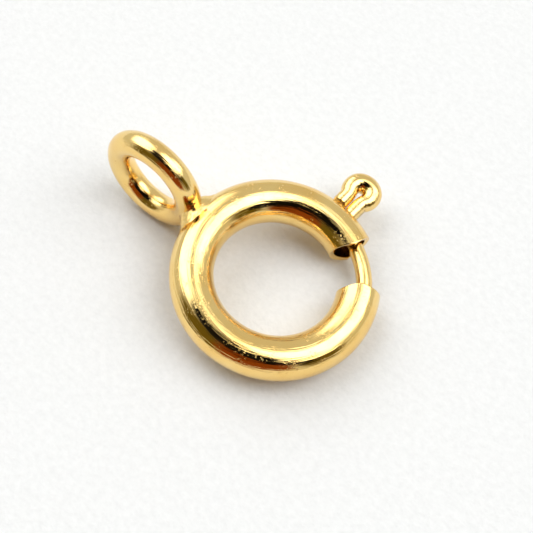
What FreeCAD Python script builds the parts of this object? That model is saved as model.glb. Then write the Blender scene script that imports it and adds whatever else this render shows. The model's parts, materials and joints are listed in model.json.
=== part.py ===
import FreeCAD, Part
import math
import os
import Sketcher

os.makedirs("parts", exist_ok=True)
doc = FreeCAD.newDocument("spring_ring_clasp")

# Driving dimensions, in millimetres and degrees.
# Angles run round the ring from the side away from the loop, so the loop stands at 180.
SIZES = {
    # the ring, a thin-walled tube
    "ring_outer_dia": 6.0,
    "tube_dia": 1.25,
    "tube_wall": 0.15,
    # the sawn gap, nearly parallel faces either side of its middle
    "gap_angle": 47.25,
    "gap_width": 1.20,
    "gap_flare": 1.0,
    # the soldered loop
    "loop_mean_dia": 2.54,
    "loop_wire_dia": 0.76,
    "loop_sink": 0.13,
    "loop_lean": 3.5,
    # the solder between ring and loop, an oval neck
    "solder_foot_reach": 0.45,
    "solder_foot_half": 0.70,
    "solder_neck_half": 0.50,
    "solder_top_half": 0.34,
    "solder_half_height": 0.50,
    # the bolt and its lever, one bent wire
    "bolt_wire_dia": 0.46,
    "bolt_arc_radius": 2.53,
    "bolt_tip_angle": 26.1,
    "bolt_end_round": 0.2,
    "elbow_radius": 0.32,
    "lever_angle": 87.0,
    "leg_offset": 0.24,
    "flare_radius": 0.30,
    "eye_radius": 0.335,
    "eye_distance": 3.73,
    "tail_length": 0.35,
    # the lever's travel and its slot
    "lever_travel": 44.0,
    "slot_width": 0.56,
    "slot_near_play": 0.05,
    "slot_far_play": 0.04,
    # the coil spring and the plug behind it
    "spring_outer_dia": 0.84,
    "spring_wire_dia": 0.09,
    "spring_turns": 16,
    "spring_start_angle": 88.6,
    "plug_angle": 178.3,
    "plug_thickness": 0.16,
    "spring_seat_gap": 0.02,
}

sheet = doc.addObject("Spreadsheet::Sheet", "sizes")
for row, (alias, value) in enumerate(SIZES.items(), start=1):
    sheet.set(f"A{row}", alias)
    sheet.set(f"B{row}", str(value))
    sheet.setAlias(f"B{row}", alias)
doc.recompute()

# Sizes worked out from the driving ones, as expressions in the sheet's names.
RING_MAJOR = "(sizes.ring_outer_dia - sizes.tube_dia) / 2"
BORE_RADIUS = "(sizes.tube_dia / 2 - sizes.tube_wall)"
LOOP_CENTRE = (
    "(sizes.ring_outer_dia / 2 - sizes.loop_sink"
    " + (sizes.loop_mean_dia + sizes.loop_wire_dia) / 2)"
)
# The clasp lies on the loop's lower edge and on the far side of the ring.
LOOP_DROP = "(sizes.loop_mean_dia / 2 * cos(sizes.loop_lean) + sizes.loop_wire_dia / 2 - sizes.tube_dia / 2)"
REST_TILT = f"asin({LOOP_DROP} / ({LOOP_CENTRE} + {RING_MAJOR}))"
PLUG_HALF = "(sizes.plug_thickness / (sizes.ring_outer_dia - sizes.tube_dia) * 180 / pi)"
# The slot's two ends and half its width, as angles round the ring.
LEG_EDGE = "(sizes.leg_offset + sizes.bolt_wire_dia / 2 + sizes.slot_near_play)"
SLOT_NEAR = f"(sizes.lever_angle - asin({LEG_EDGE} / (sizes.ring_outer_dia / 2 - sizes.tube_wall)) / 1 deg)"
SLOT_FAR = (
    "(sizes.lever_angle + sizes.lever_travel"
    " + sizes.slot_far_play / sizes.ring_outer_dia * 360 / pi)"
)
SLOT_HALF_ANGLE = "(sizes.slot_width / sizes.ring_outer_dia * 180 / pi)"


def size(name):
    """A driving dimension as a plain number."""
    return float(sheet.get(name))


def turned(axis, angle, base=("0", "0", "0")):
    """A placement, as an expression: first turned about the axis, then moved by the base."""
    return (
        f"create(<<placement>>; create(<<vector>>; {base[0]}; {base[1]}; {base[2]}); "
        f"create(<<rotation>>; create(<<vector>>; {axis[0]}; {axis[1]}; {axis[2]}); {angle}))"
    )


AXIS_X = (1, 0, 0)
AXIS_Y = (0, 1, 0)
AXIS_Z = (0, 0, 1)
AT_REST = turned(AXIS_Y, REST_TILT)


def primitive(kind, name, placement=None, **sizes):
    """A Part primitive whose properties are bound to the sheet."""
    made = doc.addObject(kind, name)
    for prop, expression in sizes.items():
        made.setExpression(prop, expression)
    if placement:
        made.setExpression("Placement", placement)
    return made


def fused(name, *shapes):
    made = doc.addObject("Part::MultiFuse", name)
    made.Shapes = list(shapes)
    return made


def cut(name, base, tool):
    made = doc.addObject("Part::Cut", name)
    made.Base = base
    made.Tool = tool
    return made


def ring_tube():
    """The outside of the bent tube, still a closed and solid ring."""
    return primitive("Part::Torus", "tube_outside", Radius1=RING_MAJOR, Radius2="sizes.tube_dia / 2")


def closed_loop():
    """The wire loop, upright on the ring and leaning a little to one side."""
    upright = turned(AXIS_X, "90 - sizes.loop_lean", (f"-{LOOP_CENTRE}", "0", "0"))
    return primitive(
        "Part::Torus", "loop", upright, Radius1="sizes.loop_mean_dia / 2", Radius2="sizes.loop_wire_dia / 2"
    )


def solder_oval(name, reach, half_width, half_height):
    """One oval section of the solder, its width along the ring and its height across it."""
    made = doc.addObject("Part::Ellipse", name)
    made.setExpression("MajorRadius", half_width)
    made.setExpression("MinorRadius", half_height)
    # a third of a turn about the cube's diagonal takes X to Y and Y to Z
    made.setExpression("Placement", turned((1, 1, 1), "120", (f"-({reach})", "0", "0")))
    return made


def solder_neck():
    """The solder that fills the corner between tube and loop, lofted through four ovals."""
    outside = "sizes.ring_outer_dia / 2"
    skin_half = "(sizes.solder_foot_half + sizes.solder_neck_half) / 2"
    height = "sizes.solder_half_height"
    sections = [
        solder_oval("solder_foot", f"{outside} - sizes.solder_foot_reach", "sizes.solder_foot_half", height),
        solder_oval("solder_skin", f"{outside} - sizes.loop_sink / 2", skin_half, height),
        solder_oval("solder_waist", f"{outside} + sizes.loop_sink", "sizes.solder_neck_half", height),
        solder_oval(
            "solder_top",
            f"{outside} + sizes.loop_wire_dia / 2",
            "sizes.solder_top_half",
            "sizes.solder_top_half",
        ),
    ]
    loft = doc.addObject("Part::Loft", "solder")
    loft.Sections = sections
    loft.Solid = True
    return loft


def tube_bore():
    """The hollow of the tube: all the way round but for the plug below the loop."""
    start = f"sizes.plug_angle + {PLUG_HALF}"
    return primitive(
        "Part::Torus",
        "bore",
        turned(AXIS_Z, start),
        Radius1=RING_MAJOR,
        Radius2=BORE_RADIUS,
        Angle3=f"360 - 2 * {PLUG_HALF}",
    )


def gap_wedge():
    """What the saw takes out: a wedge across the tube, a little wider outwards."""
    made = doc.addObject("Part::Wedge", "gap")
    inner = f"({RING_MAJOR} - sizes.tube_dia)"
    outer = f"({RING_MAJOR} + sizes.tube_dia)"
    # the width is set on the chord, which lies nearer the centre than the tube's middle line
    chord = f"({RING_MAJOR} * cos(asin(sizes.gap_width / 2 / ({RING_MAJOR}))))"
    inner_half = f"(sizes.gap_width / 2 + ({inner} - {chord}) * tan(sizes.gap_flare))"
    outer_half = f"(sizes.gap_width / 2 + ({outer} - {chord}) * tan(sizes.gap_flare))"
    made.setExpression("Ymin", inner)
    made.setExpression("Ymax", outer)
    made.setExpression("Xmin", f"-{inner_half}")
    made.setExpression("Xmax", inner_half)
    made.setExpression("X2min", f"-{outer_half}")
    made.setExpression("X2max", outer_half)
    for low, high in (("Zmin", "Zmax"), ("Z2min", "Z2max")):
        made.setExpression(low, "-sizes.tube_dia")
        made.setExpression(high, "sizes.tube_dia")
    made.setExpression("Placement", turned(AXIS_Z, "sizes.gap_angle - 90"))
    return made


def lever_slot():
    """The slot in the tube's outer wall along which the lever's leg slides, with round ends."""
    below = ("0", "0", "-sizes.slot_width / 2")
    first = f"({SLOT_NEAR} + {SLOT_HALF_ANGLE})"
    last = f"({SLOT_FAR} - {SLOT_HALF_ANGLE})"
    slab = primitive(
        "Part::Cylinder",
        "slot_slab",
        turned(AXIS_Z, first, below),
        Radius="sizes.ring_outer_dia / 2 + sizes.tube_wall",
        Height="sizes.slot_width",
        Angle=f"{last} - {first}",
    )
    core = primitive(
        "Part::Cylinder",
        "slot_core",
        turned(AXIS_Z, "0", ("0", "0", "-sizes.slot_width")),
        Radius=RING_MAJOR,
        Height="2 * sizes.slot_width",
    )
    ends = []
    for name, angle in (("slot_near_end", first), ("slot_far_end", last)):
        outwards = turned(AXIS_Z, angle) + " * " + turned(AXIS_Y, "90", (RING_MAJOR, "0", "0"))
        ends.append(
            primitive(
                "Part::Cylinder",
                name,
                outwards,
                Radius="sizes.slot_width / 2",
                Height="sizes.tube_dia",
            )
        )
    return fused("slot", cut("slot_band", slab, core), *ends)


def build_ring_body():
    """Tube, loop, solder and plug: soldered metal, so one solid."""
    metal = fused("ring_metal", ring_tube(), closed_loop(), solder_neck())
    bored = cut("ring_bored", metal, tube_bore())
    sawn = cut("ring_sawn", bored, gap_wedge())
    body = cut("ring_slotted", sawn, lever_slot())
    body.setExpression("Placement", AT_REST)
    body.Label = "ring_body"
    return body


def origin_plane(body, role):
    return next(plane for plane in body.Origin.OriginFeatures if plane.Role == role)


def on_plane(body, name, role):
    """A sketch on one of the body's own origin planes."""
    sketch = body.newObject("Sketcher::SketchObject", name)
    sketch.AttachmentSupport = [(origin_plane(body, role), "")]
    sketch.MapMode = "FlatFace"
    return sketch


def polar(radius, angle):
    return FreeCAD.Vector(radius * math.cos(angle), radius * math.sin(angle), 0)


def arc_between(centre, radius, start, end):
    """The arc round a centre that runs anticlockwise from one point's direction to the other's."""
    first, last = (math.atan2(point.y - centre.y, point.x - centre.x) for point in (start, end))
    if last < first:
        last += 2 * math.pi
    return Part.ArcOfCircle(Part.Circle(centre, FreeCAD.Vector(0, 0, 1), radius), first, last)


def bolt_route(sketch):
    """The wire's middle line: bolt, elbow, leg, round eye and tail, with the bolt's tip on the X axis."""
    arc_radius = size("bolt_arc_radius")
    bend, flare, eye_radius = size("elbow_radius"), size("flare_radius"), size("eye_radius")
    offset, reach = size("leg_offset"), size("eye_distance")
    way = math.radians(size("lever_angle") - size("bolt_tip_angle"))
    outwards, sideways = polar(1, way), polar(1, way + math.pi / 2)

    def at(out, side):
        return outwards * out + sideways * side

    # the leg lies one offset to the gap's side of the lever's axis, the tail as far to the other side
    corner_out = math.sqrt((arc_radius + bend) ** 2 - (offset + bend) ** 2)
    corner_centre = at(corner_out, -offset - bend)
    flare_out = reach - math.sqrt((eye_radius + flare) ** 2 - (offset + flare) ** 2)
    leg_start, leg_end = at(corner_out, -offset), at(flare_out, -offset)
    tail_start, tail_end = at(flare_out, offset), at(flare_out - size("tail_length"), offset)
    eye = at(reach, 0)
    leg_flare, tail_flare = at(flare_out, -offset - flare), at(flare_out, offset + flare)
    bolt_end = corner_centre * (arc_radius / corner_centre.Length)
    bolt_start = FreeCAD.Vector(arc_radius, 0, 0)
    share = eye_radius / (eye_radius + flare)
    eye_start, eye_end = (eye + (centre - eye) * share for centre in (leg_flare, tail_flare))
    pieces = [
        arc_between(FreeCAD.Vector(0, 0, 0), arc_radius, bolt_start, bolt_end),
        arc_between(corner_centre, bend, leg_start, bolt_end),
        Part.LineSegment(leg_start, leg_end),
        arc_between(leg_flare, flare, eye_start, leg_end),
        arc_between(eye, eye_radius, eye_start, eye_end),
        arc_between(tail_flare, flare, tail_start, eye_end),
        Part.LineSegment(tail_start, tail_end),
    ]
    bolt, corner, leg, leg_bend, round_eye, tail_bend, tail = sketch.addGeometry(pieces, False)
    axis = sketch.addGeometry(Part.LineSegment(FreeCAD.Vector(0, 0, 0), eye), True)

    start, end, middle = 1, 2, 3
    origin = (-1, 1)
    x_axis = -1

    def hold(*parts, bound=None):
        number = sketch.addConstraint(Sketcher.Constraint(*parts))
        if bound:
            sketch.setExpression(f"Constraints[{number}]", bound)

    hold("Coincident", bolt, middle, *origin)
    hold("PointOnObject", bolt, start, x_axis)
    hold("Coincident", axis, start, *origin)
    hold("Coincident", axis, end, round_eye, middle)
    for joint in (
        (bolt, end, corner, end),
        (corner, start, leg, start),
        (leg, end, leg_bend, end),
        (leg_bend, start, round_eye, start),
        (round_eye, end, tail_bend, end),
        (tail_bend, start, tail, start),
    ):
        hold("Tangent", *joint)
    hold("Radius", bolt, arc_radius, bound="sizes.bolt_arc_radius")
    hold("Radius", corner, bend, bound="sizes.elbow_radius")
    hold("Radius", leg_bend, flare, bound="sizes.flare_radius")
    hold("Radius", round_eye, eye_radius, bound="sizes.eye_radius")
    hold("Equal", leg_bend, tail_bend)
    hold("Angle", axis, way, bound="sizes.lever_angle - sizes.bolt_tip_angle")
    hold("Distance", axis, reach, bound="sizes.eye_distance")
    hold("Parallel", leg, axis)
    hold("Distance", leg, start, axis, offset, bound="sizes.leg_offset")
    hold("Symmetric", leg, end, tail, start, axis)
    hold("Distance", tail, size("tail_length"), bound="sizes.tail_length")


def build_bolt_lever():
    """The bent wire: one circle swept along its route, its two ends rounded."""
    body = doc.addObject("PartDesign::Body", "bolt_lever")
    route = on_plane(body, "bolt_route", "XY_Plane")
    bolt_route(route)
    section = on_plane(body, "wire_section", "XZ_Plane")
    middle = FreeCAD.Vector(size("bolt_arc_radius"), 0, 0)
    wire_radius = size("bolt_wire_dia") / 2
    round_wire = section.addGeometry(Part.Circle(middle, FreeCAD.Vector(0, 0, 1), wire_radius))
    add = section.addConstraint
    add(Sketcher.Constraint("PointOnObject", round_wire, 3, -1))
    across = add(Sketcher.Constraint("DistanceX", -1, 1, round_wire, 3, middle.x))
    section.setExpression(f"Constraints[{across}]", "sizes.bolt_arc_radius")
    thick = add(Sketcher.Constraint("Radius", round_wire, wire_radius))
    section.setExpression(f"Constraints[{thick}]", "sizes.bolt_wire_dia / 2")
    doc.recompute()

    wire = body.newObject("PartDesign::AdditivePipe", "wire")
    wire.Profile = section
    wire.Spine = (route, [])
    doc.recompute()

    rounded = body.newObject("PartDesign::Fillet", "wire_ends")
    rounded.Base = (wire, end_rims(wire.Shape))
    rounded.setExpression("Radius", "sizes.bolt_end_round")
    body.setExpression("Placement", AT_REST + " * " + turned(AXIS_Z, "sizes.bolt_tip_angle"))
    doc.recompute()
    body.Label = "bolt_lever"
    return body


def end_rims(shape):
    """The names of the circles round the two flat ends of the swept wire."""
    flats = [face for face in shape.Faces if isinstance(face.Surface, Part.Plane)]
    return [
        f"Edge{number}"
        for number, edge in enumerate(shape.Edges, start=1)
        if any(edge.isSame(rim) for flat in flats for rim in flat.Edges)
    ]


def spring_line():
    """The middle line of the spring's wire: a coil round the tube's curved middle, its end turns closed."""
    points_per_turn = 12
    turns = int(size("spring_turns"))
    ring_major = (size("ring_outer_dia") - size("tube_dia")) / 2
    coil_radius = (size("spring_outer_dia") - size("spring_wire_dia")) / 2
    plug_half = math.degrees(size("plug_thickness") / 2 / ring_major)
    wire_half = math.degrees((size("spring_wire_dia") / 2 + size("spring_seat_gap")) / ring_major)
    first = math.radians(size("spring_start_angle"))
    last = math.radians(size("plug_angle") - plug_half - wire_half)
    # a closed end turn advances by little more than the wire's own thickness
    closed_turn = 1.15 * size("spring_wire_dia") / ring_major
    open_turn = (last - first - 2 * closed_turn) / (turns - 2)
    points = []
    for step in range(turns * points_per_turn + 1):
        turn = step / points_per_turn
        along = closed_turn * min(turn, 1) + closed_turn * max(turn - turns + 1, 0)
        along += open_turn * min(max(turn - 1, 0), turns - 2)
        spin = 2 * math.pi * turn
        out = polar(ring_major + coil_radius * math.cos(spin), first + along)
        points.append(out + FreeCAD.Vector(0, 0, coil_radius * math.sin(spin)))
    line = Part.BSplineCurve()
    line.interpolate(points)
    return line


def build_coil_spring():
    """The coil spring, a round wire swept along its coil, lying round the tube's middle line."""
    line = spring_line()
    start = line.value(line.FirstParameter)
    heading = line.tangent(line.FirstParameter)[0]
    section = Part.Wire(Part.Circle(start, heading, size("spring_wire_dia") / 2).toShape())
    swept = Part.Wire(line.toShape()).makePipeShell([section], True, True)
    made = doc.addObject("Part::Feature", "coil_spring")
    made.Shape = swept
    made.setExpression("Placement", AT_REST)
    made.Label = "coil_spring"
    return made


subparts = [build_ring_body(), build_bolt_lever(), build_coil_spring()]
doc.recompute()

for made in doc.Objects:
    if "Invalid" in made.State or "Error" in made.State:
        raise RuntimeError(f"{made.Label} did not build: {made.State}")
for subpart in subparts:
    shape = subpart.Shape
    if shape.isNull() or not shape.isValid() or len(shape.Solids) != 1:
        raise RuntimeError(f"{subpart.Label} is not one valid solid")
    shape.exportStep(f"parts/{subpart.Label}.step")
    print(subpart.Label, round(shape.Volume, 3), "mm3", shape.BoundBox)
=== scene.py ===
import bmesh
import bpy
import json
import math
from collections import namedtuple
from mathutils import Matrix, Vector, noise


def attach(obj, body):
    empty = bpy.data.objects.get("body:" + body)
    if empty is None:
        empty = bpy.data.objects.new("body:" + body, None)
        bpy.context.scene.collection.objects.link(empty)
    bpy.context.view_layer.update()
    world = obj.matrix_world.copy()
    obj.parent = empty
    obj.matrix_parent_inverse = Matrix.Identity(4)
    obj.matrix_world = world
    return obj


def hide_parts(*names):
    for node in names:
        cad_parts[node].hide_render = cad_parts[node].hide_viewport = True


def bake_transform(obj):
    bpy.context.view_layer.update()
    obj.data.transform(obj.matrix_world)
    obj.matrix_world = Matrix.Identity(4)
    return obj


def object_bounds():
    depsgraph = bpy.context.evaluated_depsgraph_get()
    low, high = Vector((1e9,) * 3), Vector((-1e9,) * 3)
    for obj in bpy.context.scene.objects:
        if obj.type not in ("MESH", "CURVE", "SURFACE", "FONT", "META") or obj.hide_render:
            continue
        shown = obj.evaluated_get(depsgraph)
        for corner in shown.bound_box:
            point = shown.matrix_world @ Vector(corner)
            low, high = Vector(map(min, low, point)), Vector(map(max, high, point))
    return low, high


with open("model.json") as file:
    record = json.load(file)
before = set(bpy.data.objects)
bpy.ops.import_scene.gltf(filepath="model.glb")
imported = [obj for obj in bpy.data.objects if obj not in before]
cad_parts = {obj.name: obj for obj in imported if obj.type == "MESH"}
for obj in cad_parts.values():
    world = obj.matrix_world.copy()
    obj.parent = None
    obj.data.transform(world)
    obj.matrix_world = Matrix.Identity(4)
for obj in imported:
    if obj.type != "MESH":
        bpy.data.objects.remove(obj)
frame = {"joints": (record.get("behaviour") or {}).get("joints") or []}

CAD_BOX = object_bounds()

MM = 0.001
UP = Vector((0, 0, 1))

# The clasp's own sizes, the same as in the part's source
RING_OUTER_RADIUS = 3.0 * MM
TUBE_RADIUS = 0.625 * MM
TUBE_WALL = 0.15 * MM
RING_MAJOR = RING_OUTER_RADIUS - TUBE_RADIUS
GAP_ANGLE = math.radians(47.25)
GAP_WIDTH = 1.20 * MM
GAP_FLARE = math.radians(1.0)
LOOP_MAJOR = 1.27 * MM
LOOP_WIRE = 0.38 * MM
LOOP_SINK = 0.13 * MM
LOOP_CENTRE = RING_OUTER_RADIUS - LOOP_SINK + LOOP_MAJOR + LOOP_WIRE
LOOP_LEAN = math.radians(3.5)
BOLT_WIRE = 0.23 * MM
BOLT_ARC = 2.53 * MM
BOLT_TIP = math.radians(26.1)
BOLT_END_ROUND = 0.2 * MM
ELBOW_BEND = 0.32 * MM
LEVER_ANGLE = math.radians(87.0)
LEG_OFFSET = 0.24 * MM
FLARE_BEND = 0.30 * MM
EYE_BEND = 0.335 * MM
EYE_DISTANCE = 3.73 * MM
TAIL_LENGTH = 0.35 * MM
LEVER_TRAVEL = math.radians(44.0)
SLOT_HALF = 0.28 * MM
SLOT_NEAR_PLAY = 0.05 * MM
SLOT_FAR_PLAY = 0.04 * MM
SPRING_COIL = 0.375 * MM
SPRING_WIRE = 0.045 * MM
SPRING_TURNS = 16
SPRING_START = math.radians(88.6)
PLUG_ANGLE = math.radians(178.3)
PLUG_HALF = 0.08 * MM / RING_MAJOR

# The tube's ends: how far along it they ease back to a square section, and the rounding of its cut edges
END_EASING = math.radians(20)
DEBURRING = 0.02 * MM
SHARP_ANGLE = math.radians(50)
# Cut points of the tube within this many half widths of the slot's middle line are drawn onto its edge
SLOT_CATCH = 1.3

# The solder: half its width and height where it wets the tube, and where it runs up into the loop's wire
SOLDER_FOOT = (0.98 * MM, 0.56 * MM)
SOLDER_TOP = (0.30 * MM, 0.32 * MM)
SOLDER_REACH = 3.46 * MM
SOLDER_SINK = TUBE_WALL / 3
# How fast its width and height shrink on the way up, and how late it leaves the tube
WIDTH_FALL = 2
HEIGHT_FALL = 0.8
LATE_RISE = 1.3
SOLDER_LUMP = 0.02 * MM
COARSE_LUMPS = 4 / MM
FINE_LUMPS = 9 / MM

# The lever's wire is pressed a little thicker where it is bent double, and its cut end is nearly square
LEVER_SWELL = 0.03
EYE_SWELL = 0.32
TAIL_ROUND = 0.06 * MM

# The spring's room before the plug, and the pitch of its closed end turns in wire thicknesses
SPRING_CLEARANCE = 0.02 * MM
CLOSED_PITCH = 1.15

# How finely the round forms are divided: round the wire or tube, then along it
TUBE_SIDES, TUBE_STEPS = 96, 384
LOOP_SIDES, LOOP_STEPS = 64, 192
SOLDER_SIDES, SOLDER_ROWS = 72, 24
BOLT_SIDES, BOLT_STEPS = 40, 96
ELBOW_STEPS, FLARE_STEPS, EYE_STEPS, END_STEPS = 24, 12, 72, 8
COIL_STEPS = 24
# Points closer than this are one point
WELD = 0.0005 * MM

# The ring lies tilted: its own axis is the hinge line of the bolt
HINGE = frame["joints"][0]
RING_AXIS = Vector(HINGE["axis"]).normalized()
LYING = UP.rotation_difference(RING_AXIS).to_matrix().to_4x4()


# Shaping helpers

def turn_about_ring(angle):
    return Matrix.Rotation(angle, 4, "Z")


def angle_from(point, middle):
    """How far round the ring the point lies from a middle angle, half a turn at most either way."""
    return (math.atan2(point.y, point.x) - middle + math.pi) % (2 * math.pi) - math.pi


def finish_mesh(shape, name):
    """The shape, laid as the clasp lies, as a smooth object with its faces outwards."""
    bmesh.ops.remove_doubles(shape, verts=shape.verts, dist=WELD)
    bmesh.ops.recalc_face_normals(shape, faces=shape.faces)
    bmesh.ops.transform(shape, matrix=LYING, verts=shape.verts)
    for face in shape.faces:
        face.smooth = True
    mesh = bpy.data.meshes.new(name)
    shape.to_mesh(mesh)
    shape.free()
    piece = bpy.data.objects.new(name, mesh)
    bpy.context.scene.collection.objects.link(piece)
    return piece


def wire_section(shape, radius, sides, place):
    """A bare circle that faces along the ring at its place; gives back its edges."""
    upright = place @ Matrix.Rotation(math.radians(90), 4, "X")
    made = bmesh.ops.create_circle(shape, cap_ends=False, radius=radius, segments=sides, matrix=upright)
    return list({edge for vert in made["verts"] for edge in vert.link_edges})


def spun(shape, edges, centre, angle, steps):
    """The edges turned about the ring's upright, leaving a wall; gives back the far edges."""
    made = bmesh.ops.spin(
        shape, geom=edges, cent=centre, axis=UP, dvec=(0, 0, 0), angle=angle, steps=steps, use_duplicate=False
    )
    return [part for part in made["geom_last"] if isinstance(part, bmesh.types.BMEdge)]


def drawn_out(shape, edges, way=(0, 0, 0)):
    """The edges drawn along a straight way; gives back the far edges and their points."""
    made = bmesh.ops.extrude_edge_only(shape, edges=edges)
    verts = [part for part in made["geom"] if isinstance(part, bmesh.types.BMVert)]
    bmesh.ops.translate(shape, verts=verts, vec=way)
    return [part for part in made["geom"] if isinstance(part, bmesh.types.BMEdge)], verts


# The hollow ring with its gap and slot

def slot_frame():
    """The slot's middle angle and half its length, measured along the ring's outside."""
    edge = LEG_OFFSET + BOLT_WIRE + SLOT_NEAR_PLAY
    near = LEVER_ANGLE - math.asin(edge / (RING_OUTER_RADIUS - TUBE_WALL))
    far = LEVER_ANGLE + LEVER_TRAVEL + SLOT_FAR_PLAY / RING_OUTER_RADIUS
    return (near + far) / 2, (far - near) / 2 * RING_OUTER_RADIUS


def cut_slot(shape):
    """Open the slot in the tube's outside and draw the edge of the opening onto its outline."""
    middle, half_length = slot_frame()
    straight = half_length - SLOT_HALF

    def from_core(point):
        """How far along the slot the nearest point of its middle line is, and the way out from it."""
        along = angle_from(point, middle) * RING_OUTER_RADIUS
        core = max(-straight, min(straight, along))
        return core, Vector((along - core, point.z))

    def on_outside(point):
        return point.xy.length > RING_MAJOR

    def in_slot(face):
        point = face.calc_center_median()
        return on_outside(point) and from_core(point)[1].length < SLOT_HALF

    bmesh.ops.delete(shape, geom=[face for face in shape.faces if in_slot(face)], context="FACES")
    for vert in shape.verts:
        core, out = from_core(vert.co)
        if vert.is_boundary and on_outside(vert.co) and out.length < SLOT_CATCH * SLOT_HALF:
            out = out.normalized() * SLOT_HALF
            angle = middle + (core + out.x) / RING_OUTER_RADIUS
            reach = RING_MAJOR + math.sqrt(TUBE_RADIUS ** 2 - out.y ** 2)
            vert.co = Vector((reach * math.cos(angle), reach * math.sin(angle), out.y))


def square_ends(shape, half_gap):
    """Draw both tube ends onto the saw's two faces, which are nearly parallel, easing off along the tube."""
    chord = math.sqrt(RING_MAJOR ** 2 - (GAP_WIDTH / 2) ** 2)
    face_reach = GAP_WIDTH / 2 * math.cos(GAP_FLARE) - chord * math.sin(GAP_FLARE)
    for vert in shape.verts:
        beside = angle_from(vert.co, GAP_ANGLE)
        nearness = 1 - (abs(beside) - half_gap) / END_EASING
        if nearness > 0:
            on_face = GAP_FLARE + math.asin(face_reach / vert.co.xy.length)
            shift = math.copysign((on_face - half_gap) * nearness, beside)
            vert.co = turn_about_ring(shift) @ vert.co


def hollow_tube():
    """The bent tube: a circle spun round the ring, slotted, sawn open and given its wall."""
    shape = bmesh.new()
    half_gap = math.asin(GAP_WIDTH / 2 / RING_MAJOR)
    place = turn_about_ring(GAP_ANGLE + half_gap) @ Matrix.Translation((RING_MAJOR, 0, 0))
    edges = wire_section(shape, TUBE_RADIUS, TUBE_SIDES, place)
    spun(shape, edges, (0, 0, 0), 2 * math.pi - 2 * half_gap, TUBE_STEPS)
    bmesh.ops.remove_doubles(shape, verts=shape.verts, dist=WELD)
    square_ends(shape, half_gap)
    cut_slot(shape)
    tube = finish_mesh(shape, "ring_tube")
    wall = tube.modifiers.new("tube_wall", "SOLIDIFY")
    wall.thickness = TUBE_WALL
    wall.offset = -1
    wall.use_even_offset = True
    edge = tube.modifiers.new("deburred_edges", "BEVEL")
    edge.width = DEBURRING
    edge.segments = 2
    edge.limit_method = "ANGLE"
    edge.angle_limit = SHARP_ANGLE
    return tube


# The soldered loop and its solder

def wire_loop():
    """The closed loop: the wire's circle spun once round."""
    shape = bmesh.new()
    upright = Matrix.Translation((-LOOP_CENTRE, 0, 0)) @ Matrix.Rotation(math.pi / 2 - LOOP_LEAN, 4, "X")
    edges = wire_section(shape, LOOP_WIRE, LOOP_SIDES, Matrix.Translation((LOOP_MAJOR, 0, 0)))
    bmesh.ops.spin(
        shape, geom=edges, cent=(0, 0, 0), axis=UP, dvec=(0, 0, 0), angle=2 * math.pi, steps=LOOP_STEPS,
        use_merge=True, use_duplicate=False,
    )
    bmesh.ops.transform(shape, matrix=upright, verts=shape.verts)
    return finish_mesh(shape, "soldered_loop")


def solder_skin(stage, spread):
    """A point of the solder's skin, from how far up the neck it is (0 to 1) and where round it."""
    half_width = SOLDER_TOP[0] + (SOLDER_FOOT[0] - SOLDER_TOP[0]) * (1 - stage) ** WIDTH_FALL
    half_height = SOLDER_TOP[1] + (SOLDER_FOOT[1] - SOLDER_TOP[1]) * (1 - stage) ** HEIGHT_FALL
    side = half_width * math.cos(spread)
    height = half_height * math.sin(spread)
    tube_skin = RING_MAJOR + math.sqrt(TUBE_RADIUS ** 2 - height ** 2)
    tube_skin = math.sqrt(tube_skin ** 2 - side ** 2)
    rise = stage ** LATE_RISE
    return Vector((-(1 - rise) * (tube_skin - SOLDER_SINK) - rise * SOLDER_REACH, side, height))


def solder_neck():
    """The solder between tube and loop: ovals from inside the tube's wall up into the loop's wire."""
    shape = bmesh.new()
    facing_out = Matrix.Rotation(math.radians(120), 4, Vector((1, 1, 1)))
    made = bmesh.ops.create_circle(shape, cap_ends=True, radius=1, segments=SOLDER_SIDES, matrix=facing_out)
    row = made["verts"]
    edges = list({edge for vert in row for edge in vert.link_edges})
    spreads = [math.atan2(vert.co.z, vert.co.y) for vert in row]
    for number in range(SOLDER_ROWS):
        if number:
            before = {tuple(vert.co): spread for vert, spread in zip(row, spreads)}
            edges, row = drawn_out(shape, edges)
            spreads = [before[tuple(vert.co)] for vert in row]
        for vert, spread in zip(row, spreads):
            vert.co = solder_skin(number / (SOLDER_ROWS - 1), spread)
    bmesh.ops.contextual_create(shape, geom=edges)
    bmesh.ops.remove_doubles(shape, verts=shape.verts, dist=WELD)
    bmesh.ops.recalc_face_normals(shape, faces=shape.faces)
    for vert in list(shape.verts):
        lump = noise.noise(vert.co * COARSE_LUMPS) + 0.5 * noise.noise(vert.co * FINE_LUMPS)
        vert.co += vert.normal * lump * SOLDER_LUMP
    return finish_mesh(shape, "loop_solder")


# The bolt and its lever

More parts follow.
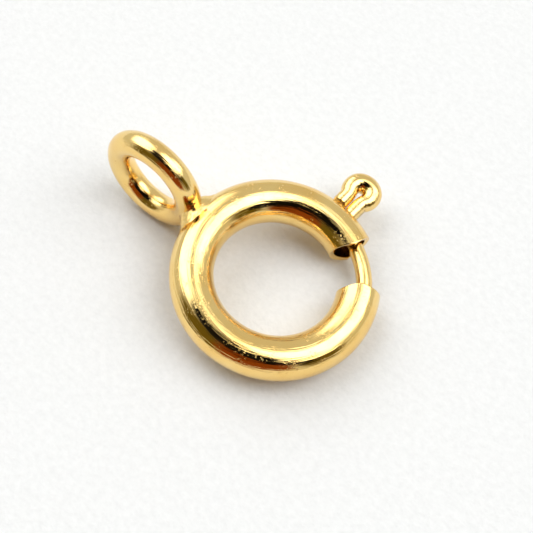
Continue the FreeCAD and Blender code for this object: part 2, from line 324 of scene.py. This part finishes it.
def bent_wire():
    """One wire: spun round the ring, bent out through the slot, round its eye and back to the ring."""
    shape = bmesh.new()
    lever = turn_about_ring(LEVER_ANGLE)

    def at(out, side):
        """A place by the lever: how far out from the ring's centre, and how far to the side."""
        return lever @ Vector((out, side, 0))

    corner_out = math.sqrt((BOLT_ARC + ELBOW_BEND) ** 2 - (LEG_OFFSET + ELBOW_BEND) ** 2)
    flare_out = EYE_DISTANCE - math.sqrt((EYE_BEND + FLARE_BEND) ** 2 - (LEG_OFFSET + FLARE_BEND) ** 2)
    corner = at(corner_out, -LEG_OFFSET - ELBOW_BEND)
    bolt_end = math.atan2(corner.y, corner.x)
    corner_turn = math.pi / 2 - (LEVER_ANGLE - bolt_end)
    flare_turn = math.acos((LEG_OFFSET + FLARE_BEND) / (EYE_BEND + FLARE_BEND))

    start = turn_about_ring(BOLT_TIP) @ Matrix.Translation((BOLT_ARC, 0, 0))
    tip = wire_section(shape, BOLT_WIRE, BOLT_SIDES, start)
    edges = spun(shape, tip, (0, 0, 0), bolt_end - BOLT_TIP, BOLT_STEPS)
    edges = spun(shape, edges, corner, -corner_turn, ELBOW_STEPS)
    edges, _ = drawn_out(shape, edges, at(flare_out - corner_out, 0))
    edges = spun(shape, edges, at(flare_out, -LEG_OFFSET - FLARE_BEND), -flare_turn, FLARE_STEPS)
    edges = spun(shape, edges, at(EYE_DISTANCE, 0), math.pi + 2 * flare_turn, EYE_STEPS)
    edges = spun(shape, edges, at(flare_out, LEG_OFFSET + FLARE_BEND), -flare_turn, FLARE_STEPS)
    edges, _ = drawn_out(shape, edges, at(-TAIL_LENGTH, 0))
    for rim, rounding in ((tip, BOLT_END_ROUND), (edges, TAIL_ROUND)):
        bmesh.ops.contextual_create(shape, geom=rim)
        bmesh.ops.bevel(
            shape, geom=rim, offset=rounding, offset_type="OFFSET", segments=END_STEPS, profile=0.5,
            affect="EDGES", material=-1, clamp_overlap=False,
        )
    swell_lever(shape, lever, flare_out)
    return finish_mesh(shape, "bolt_and_lever")


def swell_lever(shape, lever, flare_out):
    """Thicken the wire outside the ring: a little along its legs, more round its eye."""
    to_lever = lever.inverted()
    for vert in shape.verts:
        place = to_lever @ vert.co
        if place.x < RING_OUTER_RADIUS:
            continue
        if place.x > flare_out:
            way = Vector((place.x - EYE_DISTANCE, place.y, 0))
            core = Vector((EYE_DISTANCE, 0, 0)) + way.normalized() * EYE_BEND
        else:
            core = Vector((place.x, math.copysign(LEG_OFFSET, place.y), 0))
        eye_share = min(max((place.x - flare_out) / (2 * EYE_BEND), 0), 1)
        leg_share = min((place.x - RING_OUTER_RADIUS) / (flare_out - RING_OUTER_RADIUS), 1)
        place += (place - core) * (LEVER_SWELL * leg_share + EYE_SWELL * eye_share)
        vert.co = lever @ place


# The coil spring

def wound_spring():
    """The spring: a wire wound round the tube's curved middle line, its end turns closed."""
    wire_half = (SPRING_WIRE + SPRING_CLEARANCE) / RING_MAJOR
    last = PLUG_ANGLE - PLUG_HALF - wire_half
    closed_turn = CLOSED_PITCH * 2 * SPRING_WIRE / RING_MAJOR
    open_turn = (last - SPRING_START - 2 * closed_turn) / (SPRING_TURNS - 2)
    line = bpy.data.curves.new("coil_line", "CURVE")
    line.dimensions = "3D"
    line.bevel_depth = SPRING_WIRE
    line.bevel_resolution = 3
    line.use_fill_caps = True
    spline = line.splines.new("POLY")
    spline.points.add(SPRING_TURNS * COIL_STEPS)
    for step, point in enumerate(spline.points):
        turn = step / COIL_STEPS
        closed = min(turn, 1) + max(turn - SPRING_TURNS + 1, 0)
        opened = min(max(turn - 1, 0), SPRING_TURNS - 2)
        angle = SPRING_START + closed * closed_turn + opened * open_turn
        wind = 2 * math.pi * turn
        reach = RING_MAJOR + SPRING_COIL * math.cos(wind)
        place = Vector((reach * math.cos(angle), reach * math.sin(angle), SPRING_COIL * math.sin(wind)))
        point.co = (*(LYING @ place), 1)
    wound = bpy.data.objects.new("coil_line", line)
    mesh = bpy.data.meshes.new_from_object(wound)
    bpy.data.objects.remove(wound)
    for polygon in mesh.polygons:
        polygon.use_smooth = True
    spring = bpy.data.objects.new("wound_spring", mesh)
    bpy.context.scene.collection.objects.link(spring)
    return spring


# Finishes

GOLD = (0.94, 0.68, 0.27)
WARM_GOLD = (0.92, 0.61, 0.20)
STEEL_DARK = (0.56, 0.54, 0.50)
STEEL_LIGHT = (0.68, 0.66, 0.62)
BOARD_DARK = (0.70, 0.705, 0.70)
BOARD_LIGHT = (0.82, 0.825, 0.82)
# The patterns are measured in millimetres
IN_MM = (1 / MM, 1 / MM, 1 / MM)
# How much the pattern is drawn out along a bent wire or tube: 1 is not at all
DRAWN_ALONG = 0.06
# The gold's drawing lines, waves and pits: their share of the relief, and how much they dull the shine
LINE_DEPTH, WAVE_DEPTH, PIT_DEPTH = 1.6, 2.4, 0.35
LINE_DULLNESS, PIT_DULLNESS = 0.10, 0.25
GOLD_RELIEF = 0.008 * MM
STEEL_RELIEF = 0.002 * MM
BOARD_RELIEF = 0.02 * MM


class Finish:
    """A material being made up: its shader, its nodes and small joining tools."""

    def __init__(self, name):
        self.material = bpy.data.materials.new(name)
        self.material.use_nodes = True
        self.nodes = self.material.node_tree.nodes
        self.links = self.material.node_tree.links
        self.shader = self.nodes["Principled BSDF"]
        self.place = self.nodes.new("ShaderNodeTexCoord").outputs["Object"]

    def join(self, source, socket):
        self.links.new(source, socket)

    def moved(self, source, scale, turn=(0, 0, 0), shift=(0, 0, 0)):
        """The place scaled, then turned, then shifted."""
        node = self.nodes.new("ShaderNodeMapping")
        node.inputs["Scale"].default_value = scale
        node.inputs["Rotation"].default_value = turn
        node.inputs["Location"].default_value = shift
        self.join(source, node.inputs["Vector"])
        return node.outputs["Vector"]

    def cloud(self, source, scale, detail=2.0, roughness=0.5):
        """A cloudy pattern between 0 and 1."""
        node = self.nodes.new("ShaderNodeTexNoise")
        node.inputs["Scale"].default_value = scale
        node.inputs["Detail"].default_value = detail
        node.inputs["Roughness"].default_value = roughness
        self.join(source, node.inputs["Vector"])
        return node.outputs["Fac"]

    def span(self, source, taken, given=(0.0, 1.0)):
        """The value stretched so that the taken range becomes the given one, and held inside it."""
        node = self.nodes.new("ShaderNodeMapRange")
        node.inputs["From Min"].default_value, node.inputs["From Max"].default_value = taken
        node.inputs["To Min"].default_value, node.inputs["To Max"].default_value = given
        self.join(source, node.inputs["Value"])
        return node.outputs["Result"]

    def sums(self, kind, first, second):
        """One sum with two values, each a number or the output of a node."""
        node = self.nodes.new("ShaderNodeMath")
        node.operation = kind
        for socket, value in zip(node.inputs, (first, second)):
            if isinstance(value, (int, float)):
                socket.default_value = value
            else:
                self.join(value, socket)
        return node.outputs[0]

    def tint(self, factor, first, second):
        """The finish's colour, from the first to the second as the factor goes from 0 to 1."""
        node = self.nodes.new("ShaderNodeMix")
        node.data_type = "RGBA"
        node.inputs["A"].default_value = (*first, 1)
        node.inputs["B"].default_value = (*second, 1)
        self.join(factor, node.inputs["Factor"])
        self.join(node.outputs["Result"], self.shader.inputs["Base Color"])

    def relief(self, height, depth):
        """Fine relief too small to be modelled."""
        node = self.nodes.new("ShaderNodeBump")
        node.inputs["Strength"].default_value = 1.0
        node.inputs["Distance"].default_value = depth
        self.join(height, node.inputs["Height"])
        self.join(node.outputs["Normal"], self.shader.inputs["Normal"])


def round_the_bend(finish, major, centre, turn):
    """Pattern places for a bent wire or tube, in millimetres: as it lies, and drawn out along its length."""
    flat = finish.moved(finish.place, IN_MM, LYING.inverted().to_euler())
    if any(centre) or any(turn):
        flat = finish.moved(flat, (1, 1, 1), turn, centre)
    axes = finish.nodes.new("ShaderNodeSeparateXYZ")
    finish.join(flat, axes.inputs[0])
    along, across, height = axes.outputs
    squares = [finish.sums("MULTIPLY", side, side) for side in (along, across)]
    reach = finish.sums("SQRT", finish.sums("ADD", *squares), 0.0)
    out = finish.sums("SUBTRACT", reach, major)
    round_ring = finish.sums("MULTIPLY", finish.sums("ARCTAN2", across, along), major * DRAWN_ALONG)
    place = finish.nodes.new("ShaderNodeCombineXYZ")
    for source, socket in zip((out, height, round_ring), place.inputs):
        finish.join(source, socket)
    return flat, place.outputs[0]


def polished_gold(name, major, centre=(0, 0, 0), turn=(0, 0, 0), shine=0.07, waves=1.0, pits=1.0):
    """Polished yellow gold: drawing lines along the wire, soft waves, scattered pits and rubbed patches."""
    gold = Finish(name)
    gold.shader.inputs["Metallic"].default_value = 1.0
    flat, along = round_the_bend(gold, major, centre, turn)
    lines = gold.cloud(along, scale=10.0, detail=3.0, roughness=0.6)
    swell = gold.cloud(along, scale=1.6, detail=1.0)
    rubbed = gold.cloud(flat, scale=1.1, detail=3.0)
    specks = gold.cloud(flat, scale=16.0, roughness=0.7)
    patches = gold.cloud(flat, scale=2.2)
    gold.tint(gold.span(rubbed, (0.35, 0.70)), GOLD, WARM_GOLD)
    speckled = gold.sums("MULTIPLY", gold.span(specks, (0.56, 0.70)), gold.span(patches, (0.46, 0.62)))
    drawn = gold.span(lines, (0.40, 0.75), (shine, shine + LINE_DULLNESS))
    dull = gold.sums("ADD", drawn, gold.sums("MULTIPLY", speckled, PIT_DULLNESS))
    gold.join(dull, gold.shader.inputs["Roughness"])
    waved = gold.sums("MULTIPLY", swell, WAVE_DEPTH * waves)
    height = gold.sums("ADD", gold.sums("MULTIPLY", lines, LINE_DEPTH), waved)
    height = gold.sums("SUBTRACT", height, gold.sums("MULTIPLY", speckled, PIT_DEPTH * pits))
    gold.relief(height, GOLD_RELIEF)
    return gold.material


def loop_gold():
    """The gold of the loop, its lines round the loop's own centre."""
    place = {"centre": (LOOP_CENTRE / MM, 0, 0), "turn": (LOOP_LEAN - math.pi / 2, 0, 0)}
    return polished_gold("loop_gold", LOOP_MAJOR / MM, **place)


def solder_gold():
    """The solder: the same gold, duller and lumpier."""
    return polished_gold("solder_gold", RING_MAJOR / MM, shine=0.14, waves=1.5, pits=2.0)


def spring_steel():
    """Drawn spring wire: grey, with fine lines and a satin sheen."""
    steel = Finish("spring_steel")
    steel.shader.inputs["Metallic"].default_value = 1.0
    lines = steel.cloud(steel.moved(steel.place, IN_MM), scale=20.0, detail=3.0)
    steel.tint(lines, STEEL_DARK, STEEL_LIGHT)
    steel.join(steel.span(lines, (0.3, 0.7), (0.25, 0.40)), steel.shader.inputs["Roughness"])
    steel.relief(lines, STEEL_RELIEF)
    return steel.material


def pale_board():
    """A near-white board with a fine grain."""
    board = Finish("pale_board")
    board.shader.inputs["Specular IOR Level"].default_value = 0.15
    grain = board.cloud(board.moved(board.place, IN_MM), scale=5.0, detail=4.0, roughness=0.6)
    board.tint(grain, BOARD_DARK, BOARD_LIGHT)
    board.join(board.span(grain, (0.3, 0.7), (0.75, 0.95)), board.shader.inputs["Roughness"])
    board.relief(grain, BOARD_RELIEF)
    return board.material


# The table and the room

FLOOR_HALF = 1.0
FLOOR_HEIGHT = CAD_BOX[0].z

ROOM_STRENGTH = 0.80
BACKDROP = (0.94, 0.94, 0.93)
WALLS = (0.84, 0.84, 0.80)
LAMP_WHITE = (4.4, 4.45, 4.5)
WINDOW_WHITE = (3.8, 3.85, 3.9)
DARK_WOOD = (0.30, 0.075, 0.012)
OLIVE_SHADE = (0.17, 0.13, 0.02)
BLACK_CLOTH = (0.006, 0.005, 0.004)

# Round soft patches of the room, in degrees, each drawn over those before it
Patch = namedtuple("Patch", "compass height half softness light")
ROOM = [
    Patch(28, 60, 24, 7, LAMP_WHITE),
    Patch(45, 42, 12, 6, LAMP_WHITE),
    Patch(178, 50, 24, 8, WINDOW_WHITE),
    Patch(155, 35, 12, 8, WINDOW_WHITE),
    Patch(-112, 24, 26, 7, OLIVE_SHADE),
    Patch(-5, 18, 17, 5, OLIVE_SHADE),
    Patch(-62, 18, 31, 4, DARK_WOOD),
    Patch(-76, 62, 23, 4, BLACK_CLOTH),
    Patch(-102, 68, 16, 4, BLACK_CLOTH),
    Patch(-55, 54, 18, 3, BLACK_CLOTH),
    Patch(-36, 41, 14, 3, BLACK_CLOTH),
    Patch(-18, 32, 11, 3, BLACK_CLOTH),
]


def pale_floor():
    """The board that the clasp lies on."""
    shape = bmesh.new()
    bmesh.ops.create_grid(shape, x_segments=2, y_segments=2, size=FLOOR_HALF)
    bmesh.ops.translate(shape, verts=shape.verts, vec=(0, 0, FLOOR_HEIGHT))
    mesh = bpy.data.meshes.new("floor")
    shape.to_mesh(mesh)
    shape.free()
    floor = bpy.data.objects.new("floor", mesh)
    bpy.context.scene.collection.objects.link(floor)
    mesh.materials.append(pale_board())


def patch_edge(nodes, links, way, patch):
    """How much of the patch is seen that way: 1 inside it, 0 outside, softly between."""
    turn, rise = math.radians(patch.compass), math.radians(patch.height)
    towards = (math.cos(turn) * math.cos(rise), math.sin(turn) * math.cos(rise), math.sin(rise))
    near = nodes.new("ShaderNodeVectorMath")
    near.operation = "DOT_PRODUCT"
    near.inputs[1].default_value = towards
    links.new(way, near.inputs[0])
    edge = nodes.new("ShaderNodeMapRange")
    edge.interpolation_type = "SMOOTHSTEP"
    edge.inputs["From Min"].default_value = math.cos(math.radians(patch.half + patch.softness))
    edge.inputs["From Max"].default_value = math.cos(math.radians(patch.half - patch.softness))
    links.new(near.outputs["Value"], edge.inputs["Value"])
    return edge.outputs["Result"]


def room_light():
    """A pale room with two bright soft lights, and dark cloth and wood on the near side."""
    room = bpy.data.worlds.new("room")
    bpy.context.scene.world = room
    room.use_nodes = True
    nodes, links = room.node_tree.nodes, room.node_tree.links
    way = nodes.new("ShaderNodeTexCoord").outputs["Generated"]
    light = None
    for patch in ROOM:
        mixed = nodes.new("ShaderNodeMix")
        mixed.data_type = "RGBA"
        mixed.inputs["A"].default_value = (*WALLS, 1)
        mixed.inputs["B"].default_value = (*patch.light, 1)
        links.new(patch_edge(nodes, links, way, patch), mixed.inputs["Factor"])
        if light:
            links.new(light, mixed.inputs["A"])
        light = mixed.outputs["Result"]
    around = nodes["Background"]
    around.inputs["Strength"].default_value = ROOM_STRENGTH
    links.new(light, around.inputs["Color"])
    seen = nodes.new("ShaderNodeBackground")
    seen.inputs["Color"].default_value = (*BACKDROP, 1)
    shown = nodes.new("ShaderNodeMixShader")
    links.new(nodes.new("ShaderNodeLightPath").outputs["Is Camera Ray"], shown.inputs["Fac"])
    links.new(around.outputs[0], shown.inputs[1])
    links.new(seen.outputs[0], shown.inputs[2])
    links.new(shown.outputs[0], nodes["World Output"].inputs["Surface"])
    bpy.context.scene.view_settings.view_transform = "Standard"


# The camera, as fitted to the outlines of the ring and of the loop

CAMERA_DISTANCE = 32.0 * MM
FOCAL_PIXELS = 1140.2
FRAME_PIXELS = 533
SENSOR_WIDTH = 36.0
CLIP_NEAR = 1 * MM
CLIP_FAR = 1.0
# Where the ring's centre shows in the frame, in pixels from its middle
CENTRE_RIGHT = 9.19
CENTRE_DOWN = 11.09
# The ways from the ring's centre back to the camera, and up in the picture
CAMERA_BACK = Vector((0.27604, -0.37273, 0.88593))
CAMERA_UP = Vector((-0.56190, 0.68524, 0.46337))


def photo_camera():
    """The camera at the photograph's angle, its frame centred as the photograph is."""
    back = CAMERA_BACK.normalized()
    right = CAMERA_UP.cross(back).normalized()
    top = back.cross(right)
    sight = right * CENTRE_RIGHT / FOCAL_PIXELS - top * CENTRE_DOWN / FOCAL_PIXELS - back
    lens = bpy.data.cameras.new("camera")
    lens.sensor_width = SENSOR_WIDTH
    lens.lens = FOCAL_PIXELS * SENSOR_WIDTH / FRAME_PIXELS
    lens.clip_start = CLIP_NEAR
    lens.clip_end = CLIP_FAR
    camera = bpy.data.objects.new("camera", lens)
    turn = Matrix((right, top, back)).transposed().to_4x4()
    camera.matrix_world = Matrix.Translation(sight.normalized() * -CAMERA_DISTANCE) @ turn
    bpy.context.scene.collection.objects.link(camera)
    bpy.context.scene.camera = camera


# The clasp put together

def dress(piece, material, body):
    """Give the piece its material and slot, and the body that it rides on, if it rides on one alone."""
    piece.data.materials.append(material)
    if body:
        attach(piece, body)


tube = hollow_tube()
dress(tube, polished_gold("tube_gold", RING_MAJOR / MM), "ring")
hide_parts("ring_body")
dress(wire_loop(), loop_gold(), "ring")
dress(solder_neck(), solder_gold(), "ring")
bolt = bent_wire()
dress(bolt, polished_gold("bolt_gold", BOLT_ARC / MM, waves=0.5), "bolt")
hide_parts("bolt_lever")
spring = wound_spring()
dress(spring, spring_steel(), None)
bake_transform(spring)
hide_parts("coil_spring")

pale_floor()
room_light()
photo_camera()
